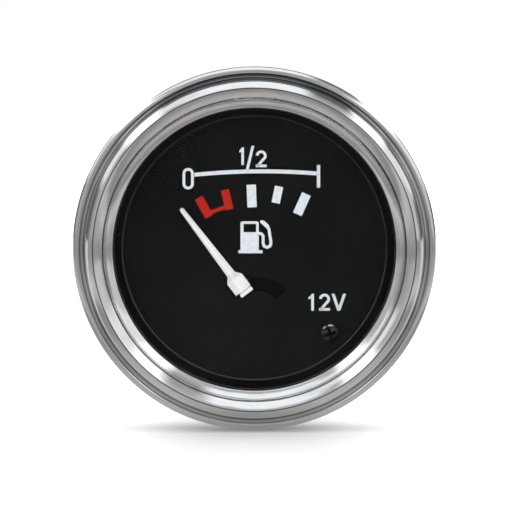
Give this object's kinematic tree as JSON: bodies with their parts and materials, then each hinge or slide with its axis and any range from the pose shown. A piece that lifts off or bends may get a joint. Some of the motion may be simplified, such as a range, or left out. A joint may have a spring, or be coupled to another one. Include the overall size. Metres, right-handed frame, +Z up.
{
  "type": "fuel gauge",
  "caption": "Round panel-mounted electric fuel gauge with a chromed bezel, a black dial, a white pointer, a clamp bracket, screw terminals and a dial lamp.",
  "frame": {"origin": "on the gauge's axis, in the plane of the panel's front, where the back of the bezel rests", "axes": "+Y along the gauge's axis towards its terminals, so the dial faces -Y; +Z up on the dial, +X to the reader's right"},
  "size_m": [0.06, 0.0589, 0.06],
  "materials": {
    "chrome": "polished",
    "clear_glass": "clear",
    "black_rubber": "matt",
    "black_moulding": "satin",
    "zinc_plate": "zinc plated",
    "dial_black": "matt",
    "white_ink": "matt",
    "red_ink": "matt",
    "black_steel": "blackened",
    "pointer_white": "satin",
    "plain_steel": "plain",
    "plain_brass": "plain",
    "strip_metal": "plain",
    "wound_wire": "lacquered",
    "brown_moulding": "satin",
    "bulb_glass": "clear"
  },
  "bodies": {
    "gauge": {"bezel": "chrome", "glass": "clear_glass", "glass_gasket": "black_rubber", "light_ring": "black_moulding", "case": "zinc_plate", "dial_plate": "dial_black", "scale_print": "white_ink", "reserve_print": "red_ink", "dial_screw": "black_steel", "bearing_bridge": "plain_brass", "bridge_rivets": "plain_steel", "movement_plate": "plain_steel", "plate_screws": "zinc_plate", "bimetal_strip": "strip_metal", "heater_winding": "wound_wire", "zero_adjuster": "plain_brass", "adjuster_rivet": "plain_steel", "base_moulding": "brown_moulding", "terminal_studs": "plain_brass", "terminal_bushes": "black_moulding", "terminal_washers": "plain_brass", "terminal_lock_nuts": "plain_brass", "terminal_spring_washers": "plain_steel", "terminal_wire_nuts": "plain_brass", "mounting_studs": "zinc_plate"},
    "pointer_group": {"pointer": "pointer_white", "pointer_arm": "plain_steel", "pointer_spindle": "plain_steel", "drive_lever": "plain_brass"},
    "clamp": {"mounting_bracket": "zinc_plate", "bracket_washers": "plain_steel", "thumb_nuts": "plain_brass"},
    "lamp": {"lamp_holder": "black_moulding", "lamp_contact": "plain_brass", "lamp_bulb": "bulb_glass"}
  },
  "joints": [
    {"name": "pointer_swing", "type": "hinge", "parent": "gauge", "child": "pointer_group", "pos_m": [0.0004, 0, -0.0119], "axis": [0, 1, 0], "range_deg": [0, 71], "stiffness_Nm_per_rad": 0.00005, "deforming": ["bimetal_strip", "heater_winding"]},
    {"name": "clamp_slide", "type": "slide", "parent": "gauge", "child": "clamp", "axis": [0, 1, 0], "range_m": [-0.005, 0.006]},
    {"name": "lamp_pull", "type": "slide", "parent": "gauge", "child": "lamp", "axis": [0, 1, 0], "range_m": [0, 0.024]}
  ]
}
